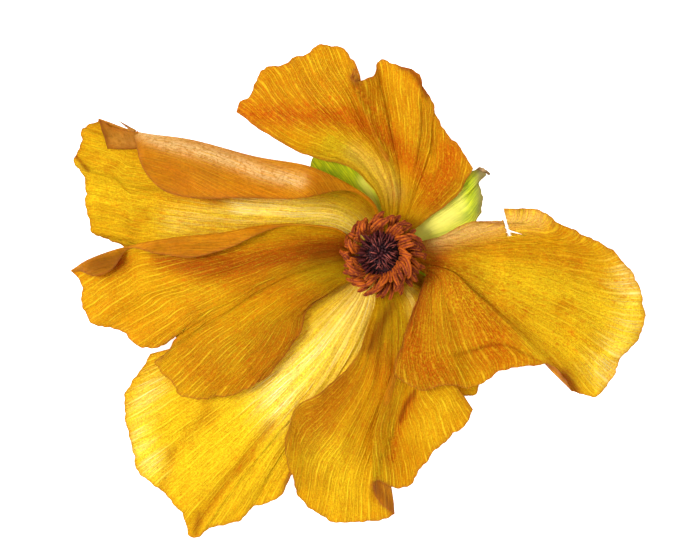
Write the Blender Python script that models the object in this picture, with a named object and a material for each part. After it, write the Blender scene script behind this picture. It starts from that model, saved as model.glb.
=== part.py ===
"""A picked ranunculus blossom lying face up: seven petals, five sepals, stamens and carpels.

The flower's axis is upright, and every plan point below is in millimetres from that axis.
Petals are thin closed sheets. They all follow one shared dome and lie on it in layers, so
that overlapping petals nest without touching.
"""

import math
import random

import bmesh
import bpy
from mathutils import Vector

MM = 0.001

PETAL_THICKNESS = 0.50
SEPAL_THICKNESS = 0.55
LAYER_STEP = 0.95
SEAT_GAP = 0.3

STEM_RADIUS = 1.7
STEM_LENGTH = 4.6
RECEPTACLE_RADIUS = 4.25
RECEPTACLE_TOP = 10.9
PETAL_CLAW_RADIUS = 4.65
SEPAL_CLAW_RADIUS = 4.6
CARPEL_RADIUS = 2.2
CARPEL_HEIGHT = 4.4

SHEET_ROWS = 9
SHEET_COLUMNS = 22
SEPAL_ROWS = 6
SEPAL_COLUMNS = 6
FOLD_COLUMNS = 6

# The shared dome's height at each distance from the axis.
DOME = [(0, 7.0), (4.6, 7.5), (8, 8.5), (13, 9.6), (19, 10.1), (26, 9.4),
        (33, 7.4), (40, 4.6), (48, 2.0), (56, 0.7), (70, 0.4)]

# A petal or sepal: its layer, its claw's direction and half width in degrees, then the first
# side from the claw, the tip margin and the second side, counterclockwise seen from above.
# A third number on a point is how far it rises or droops from its layer. A turned-over first
# side gives the fold's radius, and the width of the flap at stations from claw to tip.
PETALS = {
    "petal_top": dict(
        layer=1, claw=(66, 23),
        first_side=[(10, 8), (13, 10.5), (14.5, 13)],
        tip=[(15.5, 15, 0.5), (14, 18, 0.5), (11.5, 21, 0), (9.5, 24.5, 0), (8.5, 27, 0.5),
             (7.5, 29, 1.2), (6.5, 31.5, 1.5), (5, 32.5, 0.5), (3, 33, -0.5), (0.5, 34.5, -2.5),
             (-1, 34, -3), (-2, 31.2, -1.5), (-5, 30.8, 0), (-4.5, 33, -1.5), (-6, 35.5, -3.5),
             (-7.5, 37, -5), (-11.5, 37, -5), (-13.5, 35.5, -4.5), (-16, 35, -4),
             (-17.5, 33.5, -3.5), (-21, 33, -3.5), (-22.5, 30.5, -3), (-23.5, 27.5, -2),
             (-25, 27, -2), (-25.5, 25, -1.5)],
        second_side=[(-21, 21.5, -0.5), (-15, 18), (-11, 16.5), (-6.5, 15.5), (-3.5, 13.3),
                     (-0.8, 9.8)],
    ),
    "petal_upper_left": dict(
        layer=1, claw=(140, 38),
        first_side=[(-0.8, 7.5), (-2.2, 9.8, 0.4), (-5.5, 12, 1), (-9.5, 14, 2),
                    (-13.5, 15.5, 2.6), (-22, 17, 2.6), (-33, 20, 2), (-42.5, 21.5, 1)],
        tip=[(-49.5, 24, 0), (-52.5, 23, -0.5), (-53, 20.5, -1), (-54, 16.5, -1.3),
             (-52.5, 14, -1), (-52, 9, -1), (-51, 4, -0.8), (-48.5, 3, -0.4), (-45, 1.5, 0)],
        second_side=[(-39, 0), (-32, -2), (-18, -1.5), (-11, 1)],
        fold=(1.9, [(0, 0.1), (0.18, 0.2), (0.33, 3.9), (0.49, 5.4), (0.64, 7.9), (0.76, 7.7),
                    (0.82, 5.2), (0.87, 0.8), (0.9, 0.1), (1, 0.1)]),
    ),
    "petal_left": dict(
        layer=2, claw=(196, 30),
        first_side=[(-7, 4.2, 0.4), (-9.5, 5, 0.8), (-16, 5.5, 1.3), (-22, 5, 1.6),
                    (-27, 4, 1.6), (-32, 3.5, 1.4), (-37, 3, 1), (-45, 1.5, 0.5), (-51, -0.5)],
        tip=[(-54.5, -2.5, -1.6), (-53, -4.5, -2), (-53, -8.5, -2), (-52.5, -10, -2),
             (-50.5, -12, -1.8), (-46.5, -13, -1.2), (-42, -16, 0), (-38.5, -16, 0.2),
             (-36, -14, 0.4), (-38.5, -17, 0), (-40, -18.5, 0), (-37, -22, 0),
             (-36, -24, 0), (-32, -25, 0), (-27, -24.5, 0), (-22, -22.5, 0), (-19.5, -20.5, 0)],
        second_side=[(-16, -16), (-14, -13), (-13, -9.5), (-9, -6.5)],
        fold=(0.75, [(0, 0.1), (0.27, 0.1), (0.4, 1.2), (0.5, 2.4), (0.59, 3.0), (0.69, 1.7),
                     (0.79, 0.2), (0.86, 2.4), (0.93, 2.4), (0.97, 0.6), (1, 0.1)]),
    ),
    "petal_lower_left": dict(
        layer=1, claw=(238, 27),
        first_side=[(-15, -9), (-25, -12.5), (-34, -15)],
        tip=[(-40.5, -17, 0), (-43, -20.5, -0.6), (-45.5, -24.5, -1), (-45, -29.5, -1.2),
             (-44, -34.5, -1.2), (-42.5, -38.5, -1.2), (-38, -42, -1.2), (-36, -44.5, -1),
             (-34.5, -47.5, -1.1), (-34, -49.3, -1.2), (-32, -49.2, -1.2), (-30.5, -48.3, -1.2),
             (-28, -47.2, -1.2), (-25, -46.5, -1.2), (-22, -44, -1.1), (-17.5, -42, -1.1),
             (-16.3, -39, -1.1), (-12.5, -35, -1.1)],
        second_side=[(-9.5, -28, -0.8), (-4.5, -20, -0.6), (-1, -14, -0.5), (0.5, -9, -0.3)],
    ),
    "petal_bottom": dict(
        layer=2, claw=(276, 26),
        first_side=[(-1.5, -8), (-3, -12.5), (-4, -16), (-6.5, -19.5), (-11, -23.5), (-15, -26, 0.3)],
        tip=[(-17, -31.5, 0.5), (-17, -35, 0.5), (-15, -41.5, 0.2), (-12.5, -44.5, -0.8),
             (-9, -46.5, -2.2), (-3.5, -46.8, -3.2), (0.5, -46, -3), (2.5, -45, -2.8),
             (-0.5, -42.5, -1.2), (-1.5, -39.5, -0.4), (2, -40.5, -1.6), (4.5, -40.2, -1.6),
             (7, -37, -1), (9, -34, -0.4), (11.5, -32, -0.4), (14.5, -29, 0), (15.5, -26.5, 0)],
        second_side=[(13, -22.5), (10.5, -20), (9.5, -15.5), (9, -11), (7, -6)],
    ),
    "petal_right": dict(
        layer=3, claw=(2, 31),
        first_side=[(7, -2.5), (6.5, -5.5), (4.5, -10.5), (3, -15.5)],
        tip=[(2, -18, 0), (2, -20.5, 0), (5, -23, 0), (7.5, -23.5, 0), (9.5, -22.5, 0.3),
             (15, -23, 0.3), (20, -20.5, 0.8), (22.5, -19.5, 0.8), (29.5, -19.5, -0.5),
             (32, -22.5, -2.4), (33, -24, -3.2), (37.5, -24.5, -4), (41, -20.5, -4.2),
             (41.5, -18, -4.2), (44.5, -15.5, -4.4), (46, -11, -4.4), (45.5, -6.5, -4.2),
             (42, -0.5, -3), (36, 3.5, -1), (31, 5.5, 0.8), (27.5, 8, 2), (24, 8.2, 2.4),
             (20.5, 8.1, 2.4)],
        second_side=[(20, 5.8, 1.5), (16.5, 6, 0.4), (13.5, 5.5), (10, 3.5)],
    ),
    "petal_under": dict(
        layer=0.6, claw=(322, 17),
        first_side=[(6, -10), (8, -16)],
        tip=[(10, -20, -0.3), (12.5, -23.5, -0.3), (16, -24.5, -0.3), (17, -22, 0),
             (18, -18, 0.2), (17.5, -14, 0.2)],
        second_side=[(15, -9.5), (10.5, -5.5)],
    ),
}

SEPALS = {
    "sepal_upper": dict(
        layer=-0.6, claw=(122, 20),
        first_side=[(-1, 10, -0.1), (-4, 16, -0.4)],
        tip=[(-7.5, 20.5, -0.5), (-9.5, 21, -0.5), (-12, 18.5, -0.3), (-13, 14.5, 0)],
        second_side=[(-10, 9.5), (-6.5, 5)],
    ),
    "sepal_upper_right": dict(
        layer=-0.4, claw=(38, 20),
        first_side=[(9.5, 2.2), (14.5, 3.8)],
        tip=[(17, 7.5, 0.2), (17.5, 10, 0.4), (17, 12.5, 0.6), (18, 14, 0.8),
             (16, 15, 0.5), (13, 13.5, 0)],
        second_side=[(9, 11), (5.5, 7.5)],
    ),
    "sepal_left": dict(
        layer=-0.6, claw=(194, 20),
        first_side=[(-11, 2)],
        tip=[(-17, 1, -0.3), (-19, -4, -0.5), (-16, -8, -0.3)],
        second_side=[(-10, -6.5)],
    ),
    "sepal_bottom": dict(
        layer=-0.6, claw=(266, 20),
        first_side=[(-4.5, -11)],
        tip=[(-5, -17, -0.3), (-1, -19.5, -0.5), (3.5, -17, -0.3)],
        second_side=[(3, -10.5)],
    ),
    "sepal_right": dict(
        layer=-0.6, claw=(338, 20),
        first_side=[(8, -8.5)],
        tip=[(14, -11, -0.3), (18.5, -8, -0.5), (18.5, -2, -0.3)],
        second_side=[(12, -0.5)],
    ),
}

# Stamen whorls: how many, radius of the foot, then distance and height of the anther's two ends.
WHORLS = [
    dict(count=24, foot=3.55, anther_start=(5.1, 13.4), anther_end=(7.5, 14.3)),
    dict(count=19, foot=2.85, anther_start=(3.9, 15.6), anther_end=(5.6, 17.2)),
]
FILAMENT_RADIUS = 0.2
ANTHER_RADIUS = 0.42
STAMEN_SIDES = 5


def spline(points, t, keys=None):
    """Catmull-Rom curve through tuples of any size, at t from 0 to 1 along it."""
    count = len(points)
    if keys is None:
        keys = [0.0]
        for a, b in zip(points, points[1:]):
            keys.append(keys[-1] + math.dist(a, b))
        keys = [k / keys[-1] for k in keys]
    t = min(max(t, keys[0]), keys[-1])
    i = 0
    while i < count - 2 and t > keys[i + 1]:
        i += 1
    span = keys[i + 1] - keys[i]
    s = (t - keys[i]) / span
    result = []
    for axis in range(len(points[0])):
        a, b = points[i][axis], points[i + 1][axis]
        before = (b - a) / span
        after = before
        if i > 0:
            before = (b - points[i - 1][axis]) / (keys[i + 1] - keys[i - 1])
        if i < count - 2:
            after = (points[i + 2][axis] - a) / (keys[i + 2] - keys[i])
        h = (2 * s**3 - 3 * s**2 + 1, s**3 - 2 * s**2 + s, 3 * s**2 - 2 * s**3, s**3 - s**2)
        result.append(h[0] * a + h[1] * span * before + h[2] * b + h[3] * span * after)
    return result


def level(table, t):
    """Smooth value read from (station, value) pairs."""
    return spline([(value,) for _, value in table], t, [station for station, _ in table])[0]


def dome_height(x, y):
    """Height of the shared dome, with the gentle waves that all petals follow."""
    r = math.hypot(x, y)
    waves = math.sin(0.21 * x + 0.9) * math.sin(0.24 * y - 0.4) + 0.5 * math.sin(0.31 * (x + y))
    wave_size = 0.5 * min(max((r - 8) / 20, 0), 1)
    return level(DOME, min(r, DOME[-1][0])) + wave_size * waves * min(1, level(DOME, min(r, 70)) / 4)


def rise(point):
    """A plan point with its rise, which is 0 unless a third number states it."""
    return tuple(point) if len(point) == 3 else (*point, 0.0)


def claw_point(angle, radius):
    return (radius * math.cos(math.radians(angle)), radius * math.sin(math.radians(angle)), 0.0)


class Sheet:
    """A petal's midsurface: a patch between its claw, two sides and tip margin."""

    def __init__(self, shape, claw_radius):
        self.layer = shape["layer"]
        self.fold = shape.get("fold")
        direction, half_width = shape["claw"]
        self.claw = [claw_point(direction + half_width * k, claw_radius)
                     for k in (-1, -0.5, 0, 0.5, 1)]
        self.tip = [rise(p) for p in shape["tip"]]
        first = [rise(p) for p in shape["first_side"]]
        second = [rise(p) for p in shape["second_side"]]
        self.first = [self.claw[0], *first, self.tip[0]]
        self.second = [self.claw[-1], *reversed(second), self.tip[-1]]

    def fold_line(self, u):
        """Point on the first side, and the plan direction that points away from the sheet."""
        here = spline(self.first, u)
        step = 0.02
        a = spline(self.first, max(u - step, 0))
        b = spline(self.first, min(u + step, 1))
        along = Vector((b[0] - a[0], b[1] - a[1])).normalized()
        return here, (along.y, -along.x)

    def fold_radius(self, u):
        radius, flap = self.fold
        return radius * min(1.0, 0.25 + level(flap, u) / (2.2 * radius))

    def patch(self, u, v):
        """Plan position and rise inside the four boundary curves."""
        first = spline(self.first, u)
        second = spline(self.second, u)
        if self.fold:
            _, out = self.fold_line(u)
            radius = self.fold_radius(u)
            first = [first[0] - out[0] * radius, first[1] - out[1] * radius, first[2]]
        claw = spline(self.claw, v)
        tip = spline(self.tip, v)
        point = []
        for k in range(3):
            corners = ((1 - u) * ((1 - v) * self.claw[0][k] + v * self.claw[-1][k])
                       + u * ((1 - v) * self.tip[0][k] + v * self.tip[-1][k]))
            sides = (1 - v) * first[k] + v * second[k]
            ends = (1 - u) * claw[k] + u * tip[k]
            point.append(sides + ends - corners)
        return point

    def flap(self, u, share):
        """A point on the turned-over strip: share runs from 0 at the bend to 1 at its free edge."""
        _, flap = self.fold
        line, out = self.fold_line(u)
        radius = self.fold_radius(u)
        length = math.pi * radius + max(level(flap, u), 0.05)
        reach = share * length
        angle = min(reach / radius, math.pi)
        beyond = max(reach - math.pi * radius, 0)
        inward = -radius + radius * math.sin(angle) - beyond * 0.985
        lift = radius * (1 - math.cos(angle)) - beyond * 0.12
        return [line[0] + out[0] * inward, line[1] + out[1] * inward, line[2] + lift]

    def place(self, point):
        x, y, lift = point
        height = dome_height(x, y) + self.layer * LAYER_STEP + lift
        return Vector((x, y, max(height, PETAL_THICKNESS / 2 + 0.02)))

    def grid(self, rows, columns):
        """Rows of midsurface points from the claw to the tip."""
        result = []
        for i in range(rows + 1):
            u = i / rows
            row = []
            if self.fold:
                row += [self.place(self.flap(u, 1 - k / FOLD_COLUMNS)) for k in range(FOLD_COLUMNS)]
            row += [self.place(self.patch(u, j / columns)) for j in range(columns + 1)]
            result.append(row)
        return result


def normal_at(grid, i, j):
    rows, columns = len(grid) - 1, len(grid[0]) - 1
    along = grid[min(i + 1, rows)][j] - grid[max(i - 1, 0)][j]
    across = grid[i][min(j + 1, columns)] - grid[i][max(j - 1, 0)]
    return along.cross(across).normalized()


def sheet_mesh(grid, thickness):
    """One closed body of even thickness around a grid of midsurface points."""
    mesh = bmesh.new()
    upper, lower = [], []
    for i, row in enumerate(grid):
        normals = [normal_at(grid, i, j) * (thickness / 2) for j in range(len(row))]
        upper.append([mesh.verts.new((p + n) * MM) for p, n in zip(row, normals)])
        lower.append([mesh.verts.new((p - n) * MM) for p, n in zip(row, normals)])
    for i in range(len(grid) - 1):
        for j in range(len(grid[0]) - 1):
            mesh.faces.new((upper[i][j], upper[i + 1][j], upper[i + 1][j + 1], upper[i][j + 1]))
            mesh.faces.new((lower[i][j], lower[i][j + 1], lower[i + 1][j + 1], lower[i + 1][j]))
    rim_upper = rim(upper)
    rim_lower = rim(lower)
    count = len(rim_upper)
    for k in range(count):
        after = (k + 1) % count
        mesh.faces.new((rim_upper[k], rim_upper[after], rim_lower[after], rim_lower[k]))
    return mesh


def rim(side):
    """The border of a grid of vertices, once around."""
    first, last = side[0], side[-1]
    return ([*first] + [row[-1] for row in side[1:-1]]
            + [*reversed(last)] + [row[0] for row in reversed(side[1:-1])])


def turned_mesh(profile, sides):
    """A closed body turned about the axis from (radius, height) pairs, bottom to top."""
    mesh = bmesh.new()
    rings = []
    for radius, height in profile:
        rings.append([
            mesh.verts.new(Vector((radius * math.cos(a), radius * math.sin(a), height)) * MM)
            for a in (math.tau * k / sides for k in range(sides))
        ])
    for below, above in zip(rings, rings[1:]):
        for k in range(sides):
            after = (k + 1) % sides
            mesh.faces.new((below[k], below[after], above[after], above[k]))
    mesh.faces.new(reversed(rings[0]))
    mesh.faces.new(rings[-1])
    return mesh


def tube_mesh(path, radii, sides):
    """A closed tube along a path, with its own radius at each point."""
    mesh = bmesh.new()
    rings = []
    for i, point in enumerate(path):
        along = (path[min(i + 1, len(path) - 1)] - path[max(i - 1, 0)]).normalized()
        side = along.cross(Vector((-point.y, point.x, 0)).normalized()).normalized()
        other = along.cross(side)
        rings.append([
            mesh.verts.new((point + (side * math.cos(a) + other * math.sin(a)) * radii[i]) * MM)
            for a in (math.tau * k / sides for k in range(sides))
        ])
    for below, above in zip(rings, rings[1:]):
        for k in range(sides):
            after = (k + 1) % sides
            mesh.faces.new((below[k], below[after], above[after], above[k]))
    mesh.faces.new(reversed(rings[0]))
    mesh.faces.new(rings[-1])
    return mesh


def material(name, colour, roughness):
    made = bpy.data.materials.new(name)
    made.use_nodes = True
    shader = made.node_tree.nodes["Principled BSDF"]
    shader.inputs["Base Color"].default_value = (*colour, 1)
    shader.inputs["Roughness"].default_value = roughness
    shader.inputs["Metallic"].default_value = 0
    return made


def add(name, mesh, finish):
    data = bpy.data.meshes.new(name)
    bmesh.ops.recalc_face_normals(mesh, faces=mesh.faces)
    mesh.to_mesh(data)
    mesh.free()
    data.materials.append(finish)
    data.shade_smooth()
    data.set_sharp_from_angle(angle=math.radians(50))
    piece = bpy.data.objects.new(name, data)
    bpy.context.scene.collection.objects.link(piece)
    return piece


def make_receptacle():
    """The short cut stem and the barrel that it widens into, which carries everything else."""
    neck = STEM_LENGTH
    profile = [(STEM_RADIUS * 0.94, 0.0), (STEM_RADIUS, 0.4), (STEM_RADIUS, neck - 1),
               (2.3, neck + 0.1), (3.3, neck + 0.9), (3.85, neck + 1.6),
               (RECEPTACLE_RADIUS, neck + 2.7), (RECEPTACLE_RADIUS, RECEPTACLE_TOP - 0.5),
               (RECEPTACLE_RADIUS - 0.3, RECEPTACLE_TOP - 0.1), (2.6, RECEPTACLE_TOP),
               (1.0, RECEPTACLE_TOP)]
    return add("receptacle_and_stem", turned_mesh(profile, 20),
               material("green_stem", (0.30, 0.36, 0.10), 0.6))


def make_carpels():
    """The domed head of carpels, seated just above the receptacle."""
    base = RECEPTACLE_TOP + SEAT_GAP
    profile = [(CARPEL_RADIUS * 0.7, base), (CARPEL_RADIUS, base + 0.7)]
    for k in range(1, 6):
        angle = math.radians(15 * k)
        profile.append((CARPEL_RADIUS * math.cos(angle),
                        base + 0.9 + (CARPEL_HEIGHT - 0.9) * math.sin(angle)))
    return add("carpel_head", turned_mesh(profile, 16),
               material("dark_carpels", (0.08, 0.03, 0.05), 0.5))


def make_stamens():
    """Every stamen is one body: a thin filament that leans out and swells into its anther."""
    chance = random.Random(11)
    finish = material("rust_anthers", (0.55, 0.18, 0.03), 0.7)
    number = 0
    for whorl in WHORLS:
        for k in range(whorl["count"]):
            number += 1
            angle = math.tau * (k + 0.12 * chance.uniform(-1, 1)) / whorl["count"]
            stretch = chance.uniform(-0.25, 0.25)
            start_r, start_z = whorl["anther_start"]
            end_r, end_z = whorl["anther_end"]
            foot = (whorl["foot"], RECEPTACLE_TOP + SEAT_GAP)
            lean = ((foot[0] + start_r) / 2 - 0.15, (foot[1] + start_z) / 2 + 0.2)
            stations = [foot, lean, (start_r, start_z),
                        (start_r * 0.75 + end_r * 0.25, start_z * 0.75 + end_z * 0.25),
                        (start_r * 0.3 + end_r * 0.7, start_z * 0.3 + end_z * 0.7),
                        (end_r + stretch, end_z + stretch)]
            path = [Vector((r * math.cos(angle), r * math.sin(angle), z)) for r, z in stations]
            radii = [FILAMENT_RADIUS, FILAMENT_RADIUS, FILAMENT_RADIUS,
                     ANTHER_RADIUS, ANTHER_RADIUS, ANTHER_RADIUS * 0.45]
            add(f"stamen_{number:02d}", tube_mesh(path, radii, STAMEN_SIDES), finish)


def make_sheets():
    petal_finish = material("yellow_petal", (0.85, 0.50, 0.03), 0.55)
    sepal_finish = material("green_sepal", (0.45, 0.55, 0.12), 0.6)
    for name, shape in PETALS.items():
        grid = Sheet(shape, PETAL_CLAW_RADIUS).grid(SHEET_ROWS, SHEET_COLUMNS)
        add(name, sheet_mesh(grid, PETAL_THICKNESS), petal_finish)
    for name, shape in SEPALS.items():
        grid = Sheet(shape, SEPAL_CLAW_RADIUS).grid(SEPAL_ROWS, SEPAL_COLUMNS)
        add(name, sheet_mesh(grid, SEPAL_THICKNESS), sepal_finish)


def centre_on_box():
    """Shift every mesh so that the origin is the middle of the flower's footprint, on the surface."""
    pieces = list(bpy.context.scene.objects)
    points = [v.co for piece in pieces for v in piece.data.vertices]
    low = [min(p[k] for p in points) for k in range(3)]
    high = [max(p[k] for p in points) for k in range(3)]
    shift = Vector((-(low[0] + high[0]) / 2, -(low[1] + high[1]) / 2, -low[2]))
    for piece in pieces:
        piece.data.transform(piece.matrix_world.Translation(shift))


def main():
    for leftover in list(bpy.data.objects):
        bpy.data.objects.remove(leftover)
    make_receptacle()
    make_carpels()
    make_stamens()
    make_sheets()
    centre_on_box()


main()
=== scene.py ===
"""The looks of a picked ranunculus blossom lying face up on a pale lit surface."""

import math
import random

import bpy
import numpy as np
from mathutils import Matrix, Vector


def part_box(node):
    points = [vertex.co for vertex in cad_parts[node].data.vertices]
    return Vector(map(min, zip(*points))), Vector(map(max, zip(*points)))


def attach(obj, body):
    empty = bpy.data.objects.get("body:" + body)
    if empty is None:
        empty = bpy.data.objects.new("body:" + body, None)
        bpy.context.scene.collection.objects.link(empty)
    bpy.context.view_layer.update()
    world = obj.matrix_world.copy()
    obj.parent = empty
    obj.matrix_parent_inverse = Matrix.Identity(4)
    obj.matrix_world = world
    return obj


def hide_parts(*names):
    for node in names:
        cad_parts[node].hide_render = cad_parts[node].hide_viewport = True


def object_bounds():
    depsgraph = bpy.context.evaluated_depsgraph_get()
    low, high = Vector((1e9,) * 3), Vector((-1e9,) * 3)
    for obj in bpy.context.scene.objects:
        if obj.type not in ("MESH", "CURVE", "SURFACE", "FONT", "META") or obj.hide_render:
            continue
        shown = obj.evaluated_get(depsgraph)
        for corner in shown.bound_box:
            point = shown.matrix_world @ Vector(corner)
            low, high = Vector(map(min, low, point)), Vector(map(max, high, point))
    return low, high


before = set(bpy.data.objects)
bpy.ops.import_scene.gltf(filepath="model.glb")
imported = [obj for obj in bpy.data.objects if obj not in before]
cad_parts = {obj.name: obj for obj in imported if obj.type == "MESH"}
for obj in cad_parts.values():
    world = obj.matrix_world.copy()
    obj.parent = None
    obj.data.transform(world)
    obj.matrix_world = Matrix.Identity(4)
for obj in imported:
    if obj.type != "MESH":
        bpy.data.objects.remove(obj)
cad_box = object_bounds()

MM = 0.001
PETAL_THICKNESS = 0.18
SEPAL_THICKNESS = 0.28
LAYER_STEP = 0.95
CLAW_RADIUS = 3.6
# Rows from the claw to the tip, and columns across.
PETAL_GRID = (72, 200)
CURL_GRID = (16, 32)
SEPAL_GRID = (32, 48)
FOLD_COLUMNS = 30
SCALLOP_PITCHES = (8.0, 4.4, 2.6, 1.5)
PLEAT_PITCH = 3.3
PLEAT_DEPTH = 0.10
RIB_PITCH = 1.25
RIB_DEPTH = 0.020

# The flower's axis and the surface it lies on, read from the frame.
stem_low, stem_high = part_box("receptacle_and_stem")
AXIS = Vector(((stem_low.x + stem_high.x) / 2, (stem_low.y + stem_high.y) / 2, stem_low.z))
RECEPTACLE_TOP = (stem_high.z - stem_low.z) / MM

# The shared dome's height in millimetres at each distance from the axis.
DOME = [(0, 7.0), (4.6, 7.5), (8, 8.5), (13, 9.6), (19, 10.1), (26, 9.4),
        (33, 7.4), (40, 4.6), (48, 2.0), (56, 0.7), (70, 0.4)]

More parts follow.
